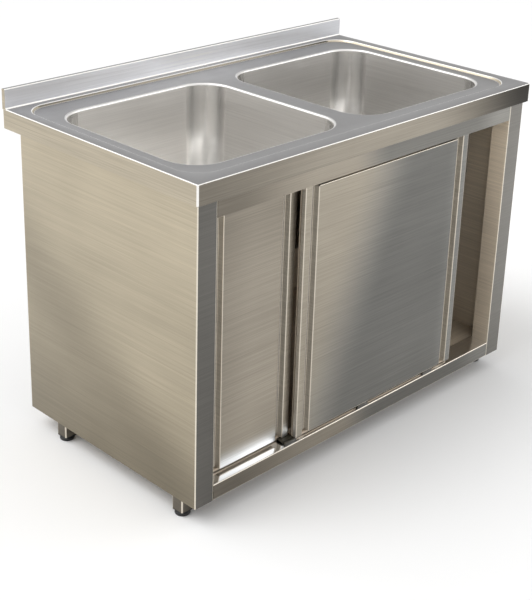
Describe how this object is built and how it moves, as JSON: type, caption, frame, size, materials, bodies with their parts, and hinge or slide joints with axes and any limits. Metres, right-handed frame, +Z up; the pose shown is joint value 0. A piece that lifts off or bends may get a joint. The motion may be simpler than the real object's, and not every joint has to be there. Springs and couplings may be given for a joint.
{
  "type": "kitchen sink unit",
  "caption": "Free-standing steel sink cabinet: pressed worktop with deep bowls, basket wastes and rear upstand, over a cupboard with sliding doors and levelling feet.",
  "frame": {"origin": "on the floor under the middle of the unit", "axes": "+X along the length to the right as seen from the front, +Y to the wall behind, +Z up; the doors face -Y"},
  "size_m": [1.2, 0.7, 0.9],
  "materials": {
    "worktop_steel": "satin brushed along the length",
    "bowl_steel": "satin brushed",
    "panel_steel": "brushed, warm reflections",
    "door_steel": "brushed across",
    "frame_steel": "brushed",
    "inner_steel": "mill finish",
    "polished_steel": "polished",
    "black_plastic": "moulded",
    "nylon": "moulded",
    "rubber": "matt"
  },
  "bodies": {
    "cabinet": {"back_panel": "inner_steel", "bottom_rail": "frame_steel", "bottom_shelf": "inner_steel", "bowl_left": "bowl_steel", "bowl_right": "bowl_steel", "deck_brace_middle": "inner_steel", "deck_brace_rear": "inner_steel", "guide_block_left": "black_plastic", "guide_block_middle": "black_plastic", "guide_block_right": "black_plastic", "leg_back_left": "frame_steel", "leg_back_right": "frame_steel", "leg_front_left": "frame_steel", "leg_front_right": "frame_steel", "leg_insert_back_left": "black_plastic", "leg_insert_back_right": "black_plastic", "leg_insert_front_left": "black_plastic", "leg_insert_front_right": "black_plastic", "shelf_stiffener": "inner_steel", "side_panel_left": "panel_steel", "side_panel_right": "panel_steel", "top_rail": "frame_steel", "top_track": "inner_steel", "waste_body_left": "polished_steel", "waste_body_right": "polished_steel", "waste_gasket_left": "rubber", "waste_gasket_right": "rubber", "waste_locknut_left": "black_plastic", "waste_locknut_right": "black_plastic", "waste_tail_left": "polished_steel", "waste_tail_right": "polished_steel", "worktop": "worktop_steel"},
    "door_left": {"door_left_skin": "door_steel", "door_left_back": "inner_steel", "door_left_hanger_a": "frame_steel", "door_left_hanger_b": "frame_steel"},
    "roller_left_a": {"door_left_roller_a": "nylon"},
    "roller_left_b": {"door_left_roller_b": "nylon"},
    "door_middle": {"door_middle_skin": "door_steel", "door_middle_back": "inner_steel", "door_middle_hanger_a": "frame_steel", "door_middle_hanger_b": "frame_steel"},
    "roller_middle_a": {"door_middle_roller_a": "nylon"},
    "roller_middle_b": {"door_middle_roller_b": "nylon"},
    "door_right": {"door_right_skin": "door_steel", "door_right_back": "inner_steel", "door_right_hanger_a": "frame_steel", "door_right_hanger_b": "frame_steel"},
    "roller_right_a": {"door_right_roller_a": "nylon"},
    "roller_right_b": {"door_right_roller_b": "nylon"},
    "foot_front_left": {"foot_front_left": "black_plastic"},
    "foot_front_right": {"foot_front_right": "black_plastic"},
    "foot_back_left": {"foot_back_left": "black_plastic"},
    "foot_back_right": {"foot_back_right": "black_plastic"},
    "basket_left": {"strainer_basket_left": "polished_steel"},
    "basket_right": {"strainer_basket_right": "polished_steel"}
  },
  "joints": [
    {"name": "door_left_slide", "type": "slide", "parent": "cabinet", "child": "door_left", "axis": [1, 0, 0], "range_m": [0, 0.3]},
    {"name": "door_middle_slide", "type": "slide", "parent": "cabinet", "child": "door_middle", "axis": [1, 0, 0], "range_m": [-0.278, 0.173]},
    {"name": "door_right_slide", "type": "slide", "parent": "cabinet", "child": "door_right", "axis": [1, 0, 0], "range_m": [0, 0.187]},
    {"name": "roller_left_a_turn", "type": "hinge", "parent": "door_left", "child": "roller_left_a", "pos_m": [-0.456, -0.303, 0.8053], "axis": [0, 1, 0], "range_deg": [0, 1724]},
    {"name": "roller_left_b_turn", "type": "hinge", "parent": "door_left", "child": "roller_left_b", "pos_m": [-0.333, -0.303, 0.8053], "axis": [0, 1, 0], "range_deg": [0, 1724]},
    {"name": "roller_middle_a_turn", "type": "hinge", "parent": "door_middle", "child": "roller_middle_a", "pos_m": [-0.178, -0.3275, 0.8053], "axis": [0, 1, 0], "range_deg": [-1598, 996]},
    {"name": "roller_middle_b_turn", "type": "hinge", "parent": "door_middle", "child": "roller_middle_b", "pos_m": [0.283, -0.3275, 0.8053], "axis": [0, 1, 0], "range_deg": [-1598, 996]},
    {"name": "roller_right_a_turn", "type": "hinge", "parent": "door_right", "child": "roller_right_a", "pos_m": [0.146, -0.303, 0.8053], "axis": [0, 1, 0], "range_deg": [0, 1076]},
    {"name": "roller_right_b_turn", "type": "hinge", "parent": "door_right", "child": "roller_right_b", "pos_m": [0.269, -0.303, 0.8053], "axis": [0, 1, 0], "range_deg": [0, 1076]},
    {"name": "foot_front_left_level", "type": "slide", "parent": "cabinet", "child": "foot_front_left", "axis": [0, 0, 1], "range_m": [-0.025, 0]},
    {"name": "foot_front_right_level", "type": "slide", "parent": "cabinet", "child": "foot_front_right", "axis": [0, 0, 1], "range_m": [-0.025, 0]},
    {"name": "foot_back_left_level", "type": "slide", "parent": "cabinet", "child": "foot_back_left", "axis": [0, 0, 1], "range_m": [-0.025, 0]},
    {"name": "foot_back_right_level", "type": "slide", "parent": "cabinet", "child": "foot_back_right", "axis": [0, 0, 1], "range_m": [-0.025, 0]},
    {"name": "basket_left_lift", "type": "slide", "parent": "cabinet", "child": "basket_left", "axis": [0, 0, 1], "range_m": [0, 0.06]},
    {"name": "basket_right_lift", "type": "slide", "parent": "cabinet", "child": "basket_right", "axis": [0, 0, 1], "range_m": [0, 0.06]}
  ],
  "couplings": [
    {"joint": "roller_left_a_turn", "follows": "door_left_slide", "rad_per_m": 100},
    {"joint": "roller_left_b_turn", "follows": "door_left_slide", "rad_per_m": 100},
    {"joint": "roller_middle_a_turn", "follows": "door_middle_slide", "rad_per_m": 100},
    {"joint": "roller_middle_b_turn", "follows": "door_middle_slide", "rad_per_m": 100},
    {"joint": "roller_right_a_turn", "follows": "door_right_slide", "rad_per_m": 100},
    {"joint": "roller_right_b_turn", "follows": "door_right_slide", "rad_per_m": 100}
  ]
}
